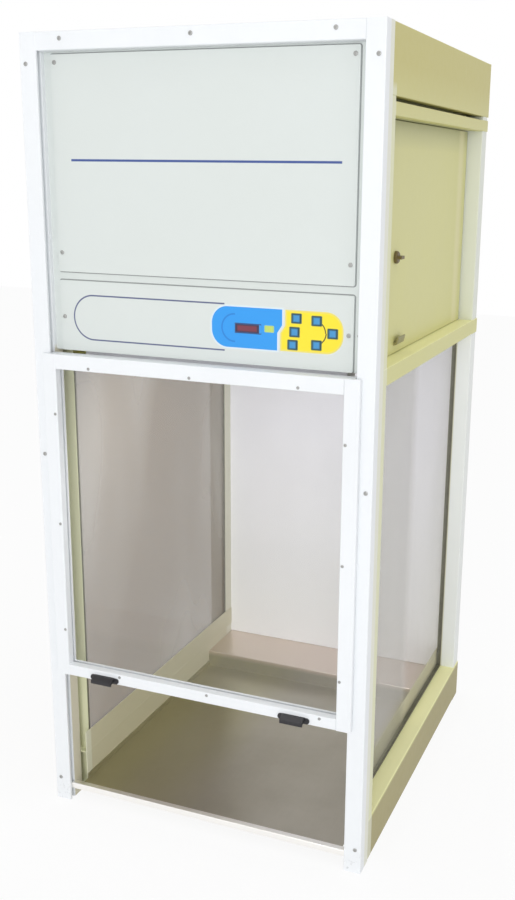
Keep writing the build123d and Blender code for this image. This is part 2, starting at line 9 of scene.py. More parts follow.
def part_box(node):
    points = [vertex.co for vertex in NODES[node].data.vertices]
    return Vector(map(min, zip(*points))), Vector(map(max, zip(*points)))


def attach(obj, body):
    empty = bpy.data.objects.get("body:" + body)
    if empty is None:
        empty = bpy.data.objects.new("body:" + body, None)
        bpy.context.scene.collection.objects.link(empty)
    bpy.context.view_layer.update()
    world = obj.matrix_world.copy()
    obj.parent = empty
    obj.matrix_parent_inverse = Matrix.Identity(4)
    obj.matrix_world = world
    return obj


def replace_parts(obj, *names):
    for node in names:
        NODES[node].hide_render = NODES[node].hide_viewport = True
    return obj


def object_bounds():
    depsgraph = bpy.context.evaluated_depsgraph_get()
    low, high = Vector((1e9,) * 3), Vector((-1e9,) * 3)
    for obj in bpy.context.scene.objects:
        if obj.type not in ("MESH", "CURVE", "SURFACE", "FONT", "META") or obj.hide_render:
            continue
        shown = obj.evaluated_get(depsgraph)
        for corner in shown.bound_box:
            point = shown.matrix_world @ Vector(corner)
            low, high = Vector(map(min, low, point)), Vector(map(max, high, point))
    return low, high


# Finishes and fine pieces of a bench fume hood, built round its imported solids.
# Everything is in metres, with the object's origin in the middle of its footprint.

bl_info = {
    "name": "Bench Fume Hood",
    "version": (1, 0, 0),
    "blender": (4, 5, 0),
    "location": "View3D > Sidebar > Hood",
    "description": "Finishes, small pieces and a plain studio for a bench fume hood",
    "category": "Object",
}

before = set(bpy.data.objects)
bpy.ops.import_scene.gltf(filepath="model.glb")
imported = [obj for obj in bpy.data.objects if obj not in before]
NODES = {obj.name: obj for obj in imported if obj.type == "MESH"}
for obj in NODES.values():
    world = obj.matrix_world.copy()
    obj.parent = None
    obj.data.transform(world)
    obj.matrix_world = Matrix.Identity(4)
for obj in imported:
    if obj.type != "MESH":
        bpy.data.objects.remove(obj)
CAD_BOX = [list(corner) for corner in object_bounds()]

# Picture that the camera repeats: its size, focal length and principal point in pixels
PICTURE = (515, 900)
FOCAL = 1064.2
CENTRE_X = 290.63
CENTRE_Y = 452.82
SENSOR = 36.0

# Heights at which the coats change their colour, their painted shade and their painted light, and the spans
# over which they fade
PLINTH_TOP = 0.08
PLINTH_SHADE_TOP = PLINTH_TOP - 0.0035
LINER_SHADE_TOP = 0.1235
HEAD_FOOT = 0.855
MID_RAIL_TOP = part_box("service_door")[0].z - 0.0014
STILE_SHADE_TOP = 1.265
REAR_POST_SHADE_FADE = (0.82, 0.85)
RAIL_SHADOW = (1.18, 1.222)
LID_FADE = (1.2, 1.3)
WALL_LIGHT_FADE = (0.6, 0.15)
GRIME_FADE = (0.045, 0.0)

# Distances of the two sides' skins from the middle, and depths counted from the middle
INNER_SKIN = 0.26125
RECESS_SKIN = 0.2845
OUTER_SKIN = 0.292
STILE_BACK = -0.28
REAR_POSTS = 0.3005
REAR_SKIN = 0.3535
# Span of the painted reflection over the front of the right pane
PANE_REFLECTION_SPAN = (0.045, 0.015)
# Span of the painted reflection over the tray, towards the left
TRAY_REFLECTION_FADE = (-0.02, -0.12)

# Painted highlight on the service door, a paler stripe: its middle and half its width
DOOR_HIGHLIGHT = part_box("service_door")[1].y - 0.045
DOOR_HIGHLIGHT_HALF = 0.018

# Half the height of the painted highlights along the top edges of the sheets, and depth of the painted
# highlight on the tray's lip
LEDGE_HIGHLIGHT_HALF = 0.0006
LIP_HIGHLIGHT_DEPTH = 0.0126

# Front panels: their corner radius, and half the width of the gap along their edges, which is darkened with
# painted shade
PANEL_CORNER = 0.003
PANEL_GAP = 0.0009

# Printed line of the upper panel: its height on the panel, its margins and half its width
LINE_UP = 0.177
LINE_LEFT = 0.032
LINE_RIGHT = 0.024
LINE_HALF = 0.0018

# Coloured fields of the control panel: their margins, places along X and corner radii
FIELD_FOOT = 0.0255
FIELD_HEAD = 0.0265
BLUE_START = 0.022
BLUE_END = 0.1335
BLUE_CORNER = 0.027
YELLOW_START = 0.1385
YELLOW_END = 0.2412
YELLOW_CORNER = 0.028
FIELD_STEP = 0.008
STEP_HALF = 0.006

# Printed outline and arc of the control panel: places, radius and half the width of their lines
OUTLINE_INSET = 0.026
OUTLINE_END = 0.044
ARC_CENTRE = 0.061
ARC_END = 0.062
ARC_RADIUS = 0.0215
PRINT_HALF = 0.0012

# Keys: their names, the flange round a cap, and half the width of the lines between them
KEYS = [f"key_{number}" for number in range(1, 7)]
KEY_RIM = 0.0015
KEY_LINE = 0.0009

# Unlit segments of the display: their shift from the middle, and half their width and height
SEGMENTS_SHIFT = -0.0015
SEGMENTS_HALF = (0.0165, 0.0042)

# Screw heads: half width and depth of the recess as shares, and the turn from one head to the next
SLOT_SHARE = 0.13
RECESS_SHARE = 0.6
HEAD_TURN = 0.7

# Liners: their thickness, and their distances from the side windows, the rear wall and the front posts
SHEET = 0.0015
LINER_GAP = 0.004
LINER_LAP = 0.002
LINER_CLEARANCE = 0.0005

# Finger pulls: half the widths of the lip and of the plate, and the plate's thickness
LIP_HALF = 0.02
PLATE_HALF = 0.028
PLATE_THICKNESS = 0.0025

# Studio: places and sizes of the lamps, and the share of plain white in what is seen of the floor
KEY_PLACE = (1.5, -5.9, 1.3)
KEY_SIZE = 2.6
TOP_PLACE = (0.6, -1.2, 4.2)
TOP_SIZE = 2.0
TOP_SHARE = 0.1
CHAMBER_SIZE = 0.2
CHAMBER_DROP = 0.02
FLOOR_WHITE = 0.9


def tone(red, green, blue):
    """Linear colour of a shade given as three screen levels from 0 to 255."""
    levels = [level / 255 for level in (red, green, blue)]
    return tuple(v / 12.92 if v <= 0.04045 else ((v + 0.055) / 1.055) ** 2.4 for v in levels)


def opaque(colour):
    """Colour with an alpha of 1, as colour sockets take it."""
    return (*tuple(colour)[:3], 1.0)


# Shader nets


class Wire:
    """One output in a shader net. Arithmetic on wires adds Math nodes to the net."""

    def __init__(self, net, socket):
        self.net = net
        self.socket = socket

    def math(self, operation, *others):
        """Math node of this kind with the wire first and the others after it."""
        sockets = dict(enumerate((self, *others)))
        return self.net.node("ShaderNodeMath", {"operation": operation}, sockets)

    def __add__(self, other):
        return self.math("ADD", other)

    def __radd__(self, other):
        return self.math("ADD", other)

    def __sub__(self, other):
        return self.math("SUBTRACT", other)

    def __rsub__(self, other):
        return self.net.node("ShaderNodeMath", {"operation": "SUBTRACT"}, {0: other, 1: self})

    def __mul__(self, other):
        return self.math("MULTIPLY", other)

    def __rmul__(self, other):
        return self.math("MULTIPLY", other)

    def __pow__(self, other):
        return self.math("POWER", other)

    def __abs__(self):
        return self.math("ABSOLUTE")

    def at_least(self, other):
        """The larger of two values, which is where two shapes overlap."""
        return self.math("MAXIMUM", other)

    def at_most(self, other):
        """The smaller of two values, which is where either shape lies."""
        return self.math("MINIMUM", other)

    def ramp(self, start, end):
        """0 at start and 1 at end, held outside them."""
        sockets = {"Value": self, "From Min": start, "From Max": end}
        return self.net.node("ShaderNodeMapRange", {"clamp": True}, sockets)

    def above(self, limit, soft=0.0004):
        """1 above a limit, with an edge this soft."""
        return self.ramp(limit - soft / 2, limit + soft / 2)

    def below(self, limit, soft=0.0004):
        """1 below a limit, with an edge this soft."""
        return self.ramp(limit + soft / 2, limit - soft / 2)

    def inside(self, soft=0.0004):
        """1 where a signed distance is below zero, with an edge this soft."""
        return self.below(0.0, soft)

    def band(self, centre, half, soft=0.0004):
        """1 within half of a centre value, with edges this soft."""
        return (abs(self - centre) - half).inside(soft)


class Net:
    """Shader net of one finish, or of the surroundings."""

    def __init__(self, name, library=None):
        self.owner = (bpy.data.materials if library is None else library).new(name)
        self.owner.use_nodes = True
        self.tree = self.owner.node_tree
        self.tree.nodes.clear()

    def node(self, kind, settings=None, sockets=None, output=0):
        """Any node: its settings are set first, then its sockets by value or by wire."""
        made = self.tree.nodes.new(kind)
        for name, value in (settings or {}).items():
            setattr(made, name, value)
        for name, value in (sockets or {}).items():
            if isinstance(value, Wire):
                self.tree.links.new(value.socket, made.inputs[name])
            else:
                made.inputs[name].default_value = value
        return Wire(self, made.outputs[output]) if made.outputs else None

    def place(self):
        """Object coordinates, which are the object's own metres."""
        return self.node("ShaderNodeTexCoord", output=3)

    def axes(self):
        """X, Y and Z of the place as three wires."""
        split = self.node("ShaderNodeSeparateXYZ", sockets={0: self.place()})
        outputs = split.socket.node.outputs
        return [Wire(self, outputs[i]) for i in range(3)]

    def noise(self, scale, detail=3.0, rough=0.5, stretch=(1, 1, 1)):
        """Noise from 0 to 1, about scale cells to the metre, stretched along the axes."""
        where = self.node("ShaderNodeMapping", {"vector_type": "POINT"}, {0: self.place(), 3: stretch})
        sockets = {"Vector": where, "Scale": scale, "Detail": detail, "Roughness": rough}
        return self.node("ShaderNodeTexNoise", {"noise_dimensions": "3D"}, sockets)

    def cells(self, scale, output=1):
        """Voronoi cells, about scale to the metre: their colours, or their distances."""
        return self.node("ShaderNodeTexVoronoi", {}, {"Vector": self.place(), "Scale": scale}, output)

    def blend(self, share, first, second):
        """First colour where share is 0 and second where it is 1."""
        colours = [c if isinstance(c, Wire) else opaque(c) for c in (first, second)]
        sockets = {0: share, 6: colours[0], 7: colours[1]}
        return self.node("ShaderNodeMix", {"data_type": "RGBA"}, sockets, 2)

    def layers(self, base, *coats):
        """Colour with coats laid over it in turn, each given as its share and its colour."""
        for share, shade in coats:
            base = self.blend(share, base, shade)
        return base

    def bump(self, height, depth):
        """Surface relief, with a height from 0 to 1 and a depth in metres."""
        return self.node("ShaderNodeBump", {}, {"Strength": 1.0, "Distance": depth, "Height": height})

    def facing(self, blend):
        """Share of mirror-like reflection, larger at grazing angles."""
        return self.node("ShaderNodeLayerWeight", {}, {"Blend": blend})

    def looked_at(self):
        """1 for what is looked at straight, in a reflection or through glass, and 0 for its light."""
        outputs = self.node("ShaderNodeLightPath").socket.node.outputs
        straight, mirrored, through = (
            Wire(self, outputs[f"Is {kind} Ray"]) for kind in ("Camera", "Glossy", "Transmission")
        )
        return straight.at_least(mirrored).at_least(through)

    def surface(self, base, roughness, **sockets):
        """Finish the net with one Principled shader and return its material."""
        named = {name.replace("_", " "): value for name, value in sockets.items()}
        named["Base Color"] = base if isinstance(base, Wire) else opaque(base)
        named["Roughness"] = roughness
        return self.finish(self.node("ShaderNodeBsdfPrincipled", {}, named))

    def finish(self, shader, output="ShaderNodeOutputMaterial"):
        """Wire a shader to the output and return what the net belongs to."""
        self.node(output, {}, {"Surface": shader})
        return self.owner


def box_distance(x, z, low, high, radius):
    """Signed distance in the XZ plane to a box with rounded corners."""
    along_x = abs(x - (low[0] + high[0]) / 2) - ((high[0] - low[0]) / 2 - radius)
    along_z = abs(z - (low[1] + high[1]) / 2) - ((high[1] - low[1]) / 2 - radius)
    corner = along_x.at_least(0.0) ** 2.0 + along_z.at_least(0.0) ** 2.0
    inner = along_x.at_least(along_z).at_most(0.0)
    return corner.math("SQRT") + inner - radius


def disc_distance(x, z, centre, radius):
    """Signed distance in the XZ plane to a disc."""
    reach = (x - centre[0]) ** 2.0 + (z - centre[1]) ** 2.0
    return reach.math("SQRT") - radius


def outline_of(node, grow_x=0.0, grow_z=0.0):
    """Lowest and highest corner of a CAD node in the XZ plane, moved outwards by so much."""
    low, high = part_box(node)
    return (low.x - grow_x, low.z - grow_z), (high.x + grow_x, high.z + grow_z)


def middle(node):
    """Centre of a CAD node's box, as X and Z."""
    low, high = outline_of(node)
    return ((low[0] + high[0]) / 2, (low[1] + high[1]) / 2)


# Finishes, each made from its material's name and the colours that a user sets


def orange_peel(net, depth):
    """Relief of a sprayed and baked coat."""
    return net.bump(net.noise(260.0, 2.0), depth)


def scuffed(net, clean, dirt, amount):
    """Coat with faint grey smears and grime gathered near the bench."""
    _, _, z = net.axes()
    smears = net.noise(9.0, 5.0, 0.65, (1, 1, 0.35)).ramp(0.45, 0.85)
    specks = net.noise(150.0, 4.0, 0.7).ramp(0.58, 0.72)
    grime = z.ramp(*GRIME_FADE) * specks.ramp(0.0, 0.6)
    return net.blend((smears * amount + grime * 0.55).ramp(0.0, 1.0), clean, dirt)


def frame_coat(name, colours):
    """White powder coat of the extruded frame and the sash, with warmer painted shade where it faces the
    sides and greyer painted shade on the rear posts.
    """
    net = Net(name)
    x, y, z = net.axes()
    low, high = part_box("front_post_right")
    behind_sash = y.above(low.y + 0.0152, 0.0008)
    behind_front = y.above(low.y + 0.0205, 0.002)
    # Painted shade: warmer inner faces of the posts behind the sash, as lit from inside the chamber, and
    # warmer outer faces turned to the sides
    inner_face_shade = abs(x).below(low.x + 0.0005, 0.0006) * behind_sash * z.below(HEAD_FOOT, 0.01)
    outer_face_shade = abs(x).above(high.x - 0.0004) * behind_front
    # Painted shade on the rear posts, stronger from the height of the mid rail up
    rear_post_shade = y.above(REAR_POSTS, 0.001) * (0.3 + 0.4 * z.ramp(*REAR_POST_SHADE_FADE))
    base = net.layers(
        scuffed(net, colours.frame_white, tone(176, 178, 178), 0.08),
        (inner_face_shade * 0.8, tone(214, 206, 176)),
        (outer_face_shade * 0.7, tone(226, 225, 200)),
        (rear_post_shade, tone(214, 218, 200)),
    )
    roughness = 0.34 + 0.08 * net.noise(60.0, 3.0)
    return net.surface(base, roughness, Normal=orange_peel(net, 0.00012), Coat_Weight=0.1)


def cream_coat(name, colours):
    """Cream powder coat with cloudy mottling, deeper on the lid and paler by the posts, with painted shade
    outside near the bench, under the upper rail and on the low inner walls, and painted highlights on the
    top edges and on the service door.
    """
    net = Net(name)
    x, y, z = net.axes()
    mottle = net.noise(5.0, 4.0, 0.6)
    # Painted shade on the outer faces of the plinths, deeper near the bench
    plinth_shade = z.below(PLINTH_SHADE_TOP, 0.005) * abs(x).above(OUTER_SKIN, 0.004)
    # Painted shade that greys the low inner walls inside the chamber
    low_wall_shade = z.below(LINER_SHADE_TOP, 0.001) * abs(x).below(INNER_SKIN, 0.0015)
    # Painted highlights along the top edges of the plinths and the mid rail
    ledge_highlights = z.band(PLINTH_TOP - 0.0002, LEDGE_HIGHLIGHT_HALF) + z.band(MID_RAIL_TOP, LEDGE_HIGHLIGHT_HALF)
    stile = y.below(STILE_BACK, 0.002) * z.below(STILE_SHADE_TOP, 0.01)
    recess = abs(x).below(RECESS_SKIN, 0.001) * z.above(MID_RAIL_TOP + 0.002, 0.004)
    base = net.layers(
        colours.cream,
        (mottle.ramp(0.3, 0.8) * 0.3, tone(208, 206, 158)),
        (plinth_shade, net.blend(mottle, tone(156, 145, 90), tone(170, 160, 104))),
        (z.ramp(*LID_FADE) * 0.8, tone(194, 184, 106)),
        (ledge_highlights, tone(250, 248, 190)),
        (recess * z.ramp(*RAIL_SHADOW) * 0.5, tone(140, 146, 118)),
        # Painted highlight, a paler stripe down the service door
        (recess * y.band(DOOR_HIGHLIGHT, DOOR_HIGHLIGHT_HALF, 0.02) * 0.45, tone(234, 226, 190)),
        (low_wall_shade * y.below(REAR_SKIN, 0.003) * 0.85, tone(206, 200, 176)),
        (stile * 0.6, tone(232, 234, 214)),
    )
    roughness = 0.4 + 0.1 * net.noise(70.0, 3.0)
    return net.surface(base, roughness, Normal=orange_peel(net, 0.00012))


def wall_coat(name, colours):
    """White coat of the chamber wall, with faint handling marks, and painted light that makes it brighter
    towards its foot.
    """
    net = Net(name)
    _, _, z = net.axes()
    marks = net.noise(7.0, 5.0, 0.6, (1, 1, 0.5)).ramp(0.4, 0.9)
    base = net.layers(
        colours.wall_white,
        (marks * 0.2, tone(190, 190, 196)),
        # Painted light: the wall brighter towards its foot
        (z.ramp(*WALL_LIGHT_FADE), tone(252, 253, 255)),
    )
    return net.surface(base, 0.45, Normal=orange_peel(net, 0.0001))


def panel_paint(net, colours):
    """Pale grey paint of the front panels, before anything is printed on it."""
    return net.blend(net.noise(6.0, 3.0) * 0.35, colours.panel_grey, tone(212, 217, 211))


def fascia_finish(name, colours):
    """Pale grey paint, with painted shade darkening the narrow gap along the edge of each of the two panels.
    """
    net = Net(name)
    x, _, z = net.axes()
    upper, lower = (
        abs(box_distance(x, z, *outline_of(node), PANEL_CORNER) - PANEL_GAP)
        for node in ("upper_front_panel", "control_panel")
    )
    # Painted shade in the narrow gap along each panel's edge
    gap_shade = (upper.at_most(lower) - PANEL_GAP).inside(0.0008)
    base = net.blend(gap_shade * 0.75, panel_paint(net, colours), tone(104, 106, 108))
    return net.surface(base, 0.42, Normal=orange_peel(net, 0.0001))


def upper_panel_finish(name, colours):
    """Pale grey paint with one printed line across the panel."""
    net = Net(name)
    x, _, z = net.axes()
    low, high = outline_of("upper_front_panel")
    height = low[1] + LINE_UP
    ends = (low[0] + LINE_LEFT, height - LINE_HALF), (high[0] - LINE_RIGHT, height + LINE_HALF)
    line = box_distance(x, z, *ends, 0.0002).inside(0.0008)
    base = net.blend(line, panel_paint(net, colours), colours.print_line)
    return net.surface(base, 0.42, Normal=orange_peel(net, 0.0001))


def key_arrow(x, z, start, end, bulge):
    """Signed distance to the printed curve from one key to another."""
    centre = (start[0] - bulge, end[1])
    ring = abs(disc_distance(x, z, centre, math.dist(centre, start))) - KEY_LINE
    window_low = (min(start[0], end[0]), min(start[1], end[1]))
    window_high = (max(start[0], end[0]), max(start[1], end[1]))
    return ring.at_least(box_distance(x, z, window_low, window_high, 0.0))


def control_panel_finish(name, colours):
    """Pale grey paint with the printed outline, the blue and yellow fields and the key borders."""
    net = Net(name)
    x, _, z = net.axes()
    low, high = outline_of("control_panel")
    foot = low[1] + FIELD_FOOT
    head = high[1] - FIELD_HEAD

    # The outline is a long slot that is cut off where the blue field hides it
    outline_low = (low[0] + OUTLINE_INSET, foot - 0.0055)
    outline_high = (0.08, head + 0.0035)
    round_end = (outline_high[1] - outline_low[1]) / 2
    outline = abs(box_distance(x, z, outline_low, outline_high, round_end)) - PRINT_HALF
    outline = outline.at_least(x - OUTLINE_END)

    # Each field is a rounded box cut off at the border between them, which steps to the right
    # at the height of the small lens
    step_z = middle("indicator_lens")[1] + 0.001
    step = (z - step_z).ramp(-STEP_HALF, STEP_HALF) * FIELD_STEP
    blue = box_distance(x, z, (BLUE_START, foot), (0.2, head), BLUE_CORNER)
    blue = blue.at_least(x - BLUE_END - step)
    yellow = box_distance(x, z, (0.08, foot), (YELLOW_END, head), YELLOW_CORNER)
    yellow = yellow.at_least(YELLOW_START + step - x)
    arc_centre = (ARC_CENTRE, middle("display_window")[1])
    arc = abs(disc_distance(x, z, arc_centre, ARC_RADIUS)) - PRINT_HALF
    arc = arc.at_least(x - ARC_END)

    base = net.layers(
        panel_paint(net, colours),
        (outline.inside(0.0006), colours.print_outline),
        ((blue - 0.0022).inside(0.003) * 0.7, tone(225, 240, 250)),
        (blue.inside(), colours.field_blue),
        (arc.inside(0.001) * blue.inside() * 0.7, tone(30, 115, 205)),
        (yellow.inside(), tone(238, 222, 110)),
        ((yellow + 0.0026).inside(0.002), colours.field_yellow),
    )
    upper, lower, right = (middle(key) for key in KEYS[3:])
    for start in (upper, lower):
        base = net.blend(key_arrow(x, z, start, right, 0.004).inside(0.0006), base, tone(70, 70, 40))
    borders = [("display_window", 0.0, 0.0015, tone(40, 60, 110))]
    borders += [("indicator_lens", 0.0045, 0.0018, tone(186, 214, 112))]
    borders += [(key, 0.0008, 0.0, tone(62, 100, 92)) for key in KEYS]
    for node, border_x, border_z, shade in borders:
        border = box_distance(x, z, *outline_of(node, border_x, border_z), 0.0018)
        base = net.blend(border.inside(0.0012), base, shade)
    return net.surface(base, 0.38, Normal=orange_peel(net, 0.00006))


def brushed_steel(name, colours):
    """Brushed stainless sheet: grain along one axis, soft wipe marks, a painted cream reflection towards the
    left, and a painted highlight that makes the lip and the ledge brighter.
    """
    net = Net(name)
    x, y, z = net.axes()
    low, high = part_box("work_tray")
    grain = net.noise(14.0, 6.0, 0.7, (60, 1, 60))
    stains = net.noise(6.0, 5.0, 0.6).ramp(0.35, 0.8)
    base = net.layers(
        colours.steel,
        (grain * 0.35, tone(150, 146, 138)),
        (stains * 0.35, tone(142, 134, 118)),
        # Painted reflection of the cream wall, towards the left
        (x.ramp(*TRAY_REFLECTION_FADE) * 0.45, tone(188, 183, 134)),
        # Painted highlights on the tray's lip and on the top of the rear ledge
        (y.below(low.y + LIP_HIGHLIGHT_DEPTH), tone(250, 248, 244)),
        (z.ramp(high.z - 0.012, high.z - 0.002) * 0.8, tone(232, 216, 206)),
    )
    roughness = 0.24 + 0.12 * grain + 0.12 * stains
    return net.surface(base, roughness, Metallic=1.0, Normal=net.bump(grain, 0.00004))


def galvanised(name, colours):
    """Zinc-coated sheet with its spangle."""
    net = Net(name)
    spangle = net.node("ShaderNodeRGBToBW", {}, {0: net.cells(90.0)})
    base = net.blend(spangle, tone(150, 154, 156), tone(184, 187, 188))
    return net.surface(base, 0.35 + 0.2 * spangle, Metallic=1.0)


def zinc_plate(name, colours):
    """Dull zinc plate of the screws."""
    net = Net(name)
    base = net.blend(net.noise(400.0, 3.0), tone(150, 150, 150), tone(196, 196, 192))
    return net.surface(base, 0.32, Metallic=0.6)


def pane(name, tint, share, haze, front_reflection=0.0):
    """Sheet of glass or clear plastic: see-through, with a faint haze of wipe marks, some sheen, and where
    asked a painted reflection that greys its front part.
    """
    net = Net(name)
    _, y, _ = net.axes()
    # Painted reflection: the pane thicker over its front part
    share = share + y.ramp(*PANE_REFLECTION_SPAN) * front_reflection
    streaks = net.noise(4.0, 2.0, 0.5, (1, 1, 0.3)).ramp(0.4, 0.85)
    alpha = (share + streaks * haze + net.facing(0.12) * 0.1).ramp(0.0, 1.0)
    base = net.blend(streaks, tint, tone(215, 213, 208))
    return net.surface(base, 0.08, Alpha=alpha, IOR=1.45)


def left_pane(name, colours):
    """Left side window, browner and hazier than the others, the brown being painted shade that stands for
    the dim room seen through it.
    """
    return pane(name, colours.left_pane_room_shade, 0.5, 0.1)


def right_pane(name, colours):
    """Right side window, a little greyer in its front half, where a painted reflection lies on it."""
    return pane(name, tone(156, 152, 142), 0.05, 0.12, 0.22)


def sash_pane(name, colours):
    """Nearly clear pane of the sash."""
    return pane(name, colours.sash_tint, 0.03, 0.05)


def rubber(name, colours):
    """Extruded rubber, matt and a little dusty."""
    net = Net(name)
    base = net.blend(net.noise(80.0, 4.0), tone(92, 91, 76), tone(122, 120, 102))
    return net.surface(base, 0.7, Normal=net.bump(net.noise(900.0, 2.0), 0.0001))


def moulding(name, dark, light):
    """Moulded plastic with a fine spark-eroded grain."""
    net = Net(name)
    grain = net.noise(1200.0, 2.0)
    base = net.blend(net.noise(60.0, 3.0), dark, light)
    return net.surface(base, 0.38 + 0.14 * grain, Normal=net.bump(grain, 0.00008))


def black_moulding(name, colours):
    """Black plastic of the finger pulls, the shoes and the inlet."""
    return moulding(name, tone(26, 25, 28), tone(44, 42, 46))


def olive_moulding(name, colours):
    """Olive plastic of the door's grip: the olive is painted shade, standing for the shadow in the finger
    recess.
    """
    return moulding(name, tone(134, 128, 84), tone(156, 150, 104))


def brown_moulding(name, colours):
    """Brown plastic of the door's latch."""
    return moulding(name, tone(92, 78, 42), tone(120, 104, 62))


def display_lens(name, colours):
    """Dark red window with the row of unlit segments behind it."""
    net = Net(name)
    x, _, z = net.axes()
    low, high = outline_of("display_window")
    centre_x, centre_z = middle("display_window")
    half_x, half_z = SEGMENTS_HALF
    segments = [(centre_x + SEGMENTS_SHIFT + s * half_x, centre_z + s * half_z) for s in (-1, 1)]
    glow = box_distance(x, z, *segments, 0.001).inside(0.002)
    window = (low[0] + 0.001, low[1]), (high[0] - 0.004, high[1])
    margin = box_distance(x, z, *window, 0.001).inside(0.001)
    base = net.blend(glow, tone(52, 38, 66), tone(120, 44, 62))
    return net.surface(net.blend(margin, colours.field_blue, base), 0.2, Coat_Weight=0.4)


def lens(name, colours):
    """Small yellow lens of the indicator."""
    net = Net(name)
    base = net.blend(net.noise(200.0, 2.0), tone(214, 224, 96), tone(190, 210, 110))
    return net.surface(base, 0.25, Coat_Weight=0.3)


def key_membrane(name, colours):
    """Blue key with a darker border of painted shade along its rounded edge, and a slight cushion in the
    middle.
    """
    net = Net(name)
    x, _, z = net.axes()
    nearest = None
    for key in KEYS:
        distance = box_distance(x, z, *outline_of(key, -KEY_RIM, -KEY_RIM), 0.0015)
        nearest = distance if nearest is None else nearest.at_most(distance)
    # Painted shade along the key's rounded edge
    base = net.blend(nearest.ramp(-0.0026, -0.0004), colours.key_blue, tone(44, 84, 104))
    return net.surface(base, 0.4, Normal=net.bump(nearest.ramp(0.0, -0.004), 0.0004))


def circuit_board(name, colours):
    """Green board with copper tracks under the lacquer."""
    net = Net(name)
    tracks = net.cells(160.0, 0).ramp(0.1, 0.2)
    base = net.blend(tracks, tone(20, 92, 58), tone(34, 122, 74))
    return net.surface(base, 0.35)


def filter_fleece(name, colours):
    """White fibre fleece."""
    net = Net(name)
    fibres = net.noise(340.0, 5.0, 0.75)
    base = net.blend(fibres, tone(196, 197, 192), tone(236, 237, 234))
    return net.surface(base, 0.9, Normal=net.bump(fibres, 0.0006), Sheen_Weight=0.2)


def carbon_granules(name, colours):
    """Black carbon granules behind a fine grid."""
    net = Net(name)
    grains = net.cells(330.0, 0)
    base = net.blend(grains.ramp(0.0, 0.7), tone(58, 58, 58), tone(22, 22, 22))
    return net.surface(base, 0.8, Normal=net.bump(grains, 0.0008))


def lamp_glass(name, colours):
    """Milky glass of the lamp tube, with metal caps at its ends."""
    net = Net(name)
    x, _, _ = net.axes()
    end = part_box("lamp_tube")[1].x
    caps = abs(x).ramp(end - 0.022, end - 0.0215)
    base = net.blend(caps, tone(240, 241, 238), tone(170, 171, 172))
    return net.surface(base, 0.25, Metallic=caps)


def enamel(name, colours):
    """Black enamel of the motor and the power unit."""
    net = Net(name)
    base = net.blend(net.noise(50.0, 4.0), tone(34, 34, 37), tone(58, 58, 60))
    return net.surface(base, 0.35, Normal=orange_peel(net, 0.0002))


FINISHES = {
    "frame_coat": (frame_coat, ["front_post_left", "front_post_right", "front_top_rail", "sash_stile_left",
                                "sash_stile_right", "sash_top_rail", "sash_bottom_rail", "rear_post_left",
                                "rear_post_right"]),
    "cream_coat": (cream_coat, ["side_frame_left", "side_frame_right", "top_cover", "service_door",
                                "electronics_cover", "side_panel_left", "plinth_rear", "rear_cover",
                                "exhaust_grille"]),
    "wall_coat": (wall_coat, ["rear_wall", "lamp_housing", "intake_grille"]),
    "fascia_paint": (fascia_finish, ["fascia_plate"]),
    "upper_panel_print": (upper_panel_finish, ["upper_front_panel"]),
    "control_panel_print": (control_panel_finish, ["control_panel"]),
    "tray_steel": (brushed_steel, ["work_tray"]),
    "galvanised_sheet": (galvanised, ["filter_deck", "compartment_wall", "fan_plate", "inlet_ring",
                                      "motor_bracket", "blower_wheel"]),
    "left_pane": (left_pane, ["side_window_left"]),
    "right_pane": (right_pane, ["side_window_right"]),
    "sash_pane": (sash_pane, ["sash_glass"]),
    "gasket_rubber": (rubber, ["window_gaskets", "filter_seal"]),
    "black_moulding": (black_moulding, ["sash_pulls", "guide_shoes", "sash_stops", "mains_inlet"]),
    "olive_moulding": (olive_moulding, ["door_grip"]),
    "brown_moulding": (brown_moulding, ["door_latch"]),
    "display_lens": (display_lens, ["display_window"]),
    "indicator_lens": (lens, ["indicator_lens"]),
    "key_membrane": (key_membrane, KEYS),
    "circuit_board": (circuit_board, ["control_board"]),
    "filter_fleece": (filter_fleece, ["prefilter", "hepa_filter"]),
    "carbon_granules": (carbon_granules, ["carbon_filter"]),
    "lamp_glass": (lamp_glass, ["lamp_tube"]),
    "motor_enamel": (enamel, ["blower_motor", "power_unit"]),
    "zinc_plate": (zinc_plate, ["door_pivots", "screws", "sash_screws"]),
}


# Meshes and objects


def islands(node):
    """Box of each separate lump of a CAD node, as pairs of corners."""
    mesh = bmesh.new()
    mesh.from_mesh(NODES[node].data)
    bmesh.ops.remove_doubles(mesh, verts=mesh.verts, dist=1e-6)
    found = []
    waiting = set(mesh.verts)
    while waiting:
        front = [waiting.pop()]
        lump = []
        while front:
            vertex = front.pop()
            lump.append(vertex.co.copy())
            near = [e.other_vert(vertex) for e in vertex.link_edges]
            fresh = [v for v in near if v in waiting]
            waiting.difference_update(fresh)
            front.extend(fresh)
        low = Vector(min(c[i] for c in lump) for i in range(3))
        high = Vector(max(c[i] for c in lump) for i in range(3))
        found.append((low, high))
    mesh.free()
    return sorted(found, key=lambda pair: tuple(pair[0]))


def vertices(geometry):
    """The vertices among the results of a bmesh operator."""
    return [v for v in geometry if isinstance(v, bmesh.types.BMVert)]


def prism(points, axis, start, end):
    """Bmesh of a profile carried along an axis. Points lie in the plane of the other two axes."""
    mesh = bmesh.new()
    corners = []
    for first, second in points:
        place = [first, second]
        place.insert(axis, start)
        corners.append(mesh.verts.new(place))
    profile = mesh.faces.new(corners)
    grown = bmesh.ops.extrude_face_region(mesh, geom=[profile], use_keep_orig=True)["geom"]
    way = Vector(end - start if i == axis else 0 for i in range(3))
    bmesh.ops.translate(mesh, verts=vertices(grown), vec=way)
    bmesh.ops.recalc_face_normals(mesh, faces=mesh.faces)
    return mesh


